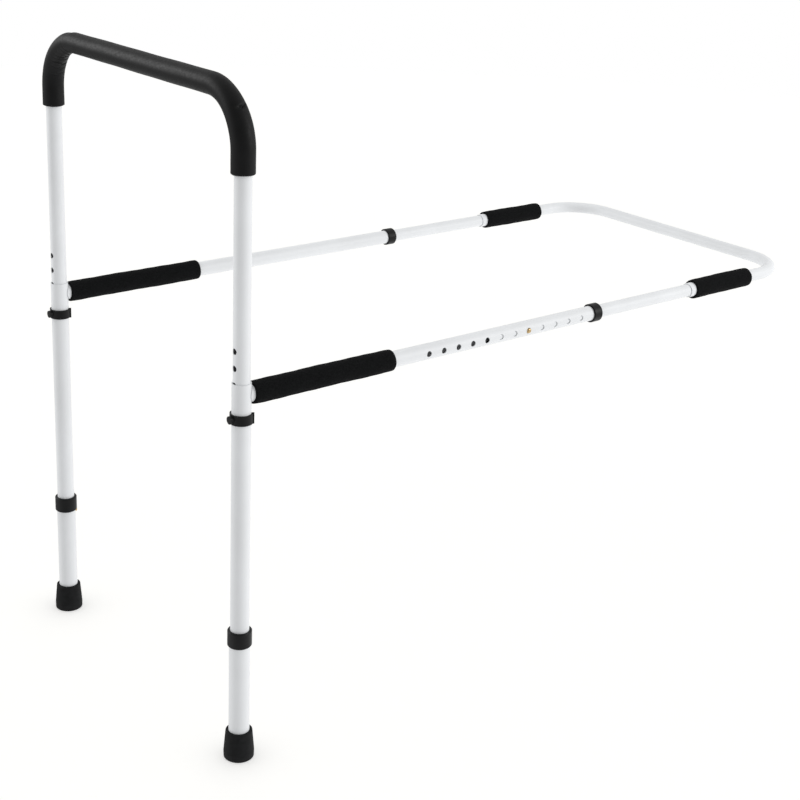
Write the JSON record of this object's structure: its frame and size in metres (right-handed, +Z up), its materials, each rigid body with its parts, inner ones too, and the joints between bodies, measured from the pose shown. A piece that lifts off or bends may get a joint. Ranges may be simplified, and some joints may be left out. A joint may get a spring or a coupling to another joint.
{
  "type": "bed assist rail",
  "caption": "Bed assist rail: foam-covered hand rail on telescoping legs with rubber feet, and a sliding under-mattress loop.",
  "frame": {"origin": "on the floor, at the centre of the part's box seen from above", "axes": "+Z up; +X along the side rails from the legs to the U bar; +Y from the near leg to the far leg"},
  "size_m": [1.2666, 0.607, 1.0385],
  "materials": {
    "white_paint": "satin white powder coat",
    "black_foam": "matte closed-cell foam",
    "black_plastic": "semi-gloss moulded plastic",
    "black_rubber": "matte moulded rubber",
    "brass": "polished",
    "steel": "zinc-plated"
  },
  "bodies": {
    "frame": {"leg_tube_near": "white_paint", "leg_tube_far": "white_paint", "rail_tube_near": "white_paint", "rail_tube_far": "white_paint", "rail_foam_near": "black_foam", "rail_foam_far": "black_foam", "rail_collar_near": "black_plastic", "rail_collar_far": "black_plastic", "leg_spring_near": "steel", "leg_spring_far": "steel"},
    "handle": {"handle_tube": "white_paint", "handle_grip": "black_foam"},
    "end_loop": {"rail_extension_near": "white_paint", "rail_extension_far": "white_paint", "end_foam_near": "black_foam", "end_foam_far": "black_foam", "rail_spring_near": "steel", "rail_spring_far": "steel", "u_bar": "white_paint", "joint_screws": "steel"},
    "clip_near": {"clip_band_near": "black_plastic", "clip_pin_near": "steel"},
    "foot_near": {"foot_tube_near": "white_paint", "leg_collar_near": "black_plastic", "rubber_foot_near": "black_rubber", "foot_washer_near": "steel"},
    "leg_button_near": {"leg_button_near": "brass"},
    "rail_button_near": {"rail_button_near": "brass"},
    "clip_far": {"clip_band_far": "black_plastic", "clip_pin_far": "steel"},
    "foot_far": {"foot_tube_far": "white_paint", "leg_collar_far": "black_plastic", "rubber_foot_far": "black_rubber", "foot_washer_far": "steel"},
    "leg_button_far": {"leg_button_far": "brass"},
    "rail_button_far": {"rail_button_far": "brass"}
  },
  "joints": [
    {"name": "handle_slide", "type": "slide", "parent": "frame", "child": "handle", "axis": [0, 0, 1], "range_m": [-0.1016, 0.0508]},
    {"name": "rail_slide", "type": "slide", "parent": "frame", "child": "end_loop", "axis": [1, 0, 0], "range_m": [-0.21, 0.12], "deforming": ["rail_button_near", "rail_button_far"]},
    {"name": "foot_slide_near", "type": "slide", "parent": "frame", "child": "foot_near", "axis": [0, 0, 1], "range_m": [0, 0.12]},
    {"name": "clip_pull_near", "type": "slide", "parent": "frame", "child": "clip_near", "axis": [-1, 0, 0], "range_m": [0, 0.008], "deforming": ["clip_band_near"]},
    {"name": "leg_button_near_press", "type": "slide", "parent": "frame", "child": "leg_button_near", "axis": [-1, 0, 0], "range_m": [0, 0.0056], "stiffness_N_per_m": 600, "springref_m": -0.002, "deforming": ["leg_spring_near"]},
    {"name": "rail_button_near_press", "type": "slide", "parent": "end_loop", "child": "rail_button_near", "axis": [0, 1, 0], "range_m": [0, 0.004], "stiffness_N_per_m": 600, "springref_m": -0.002, "deforming": ["rail_spring_near"]},
    {"name": "foot_slide_far", "type": "slide", "parent": "frame", "child": "foot_far", "axis": [0, 0, 1], "range_m": [0, 0.12]},
    {"name": "clip_pull_far", "type": "slide", "parent": "frame", "child": "clip_far", "axis": [-1, 0, 0], "range_m": [0, 0.008], "deforming": ["clip_band_far"]},
    {"name": "leg_button_far_press", "type": "slide", "parent": "frame", "child": "leg_button_far", "axis": [-1, 0, 0], "range_m": [0, 0.0056], "stiffness_N_per_m": 600, "springref_m": -0.002, "deforming": ["leg_spring_far"]},
    {"name": "rail_button_far_press", "type": "slide", "parent": "end_loop", "child": "rail_button_far", "axis": [0, -1, 0], "range_m": [0, 0.004], "stiffness_N_per_m": 600, "springref_m": -0.002, "deforming": ["rail_spring_far"]}
  ]
}
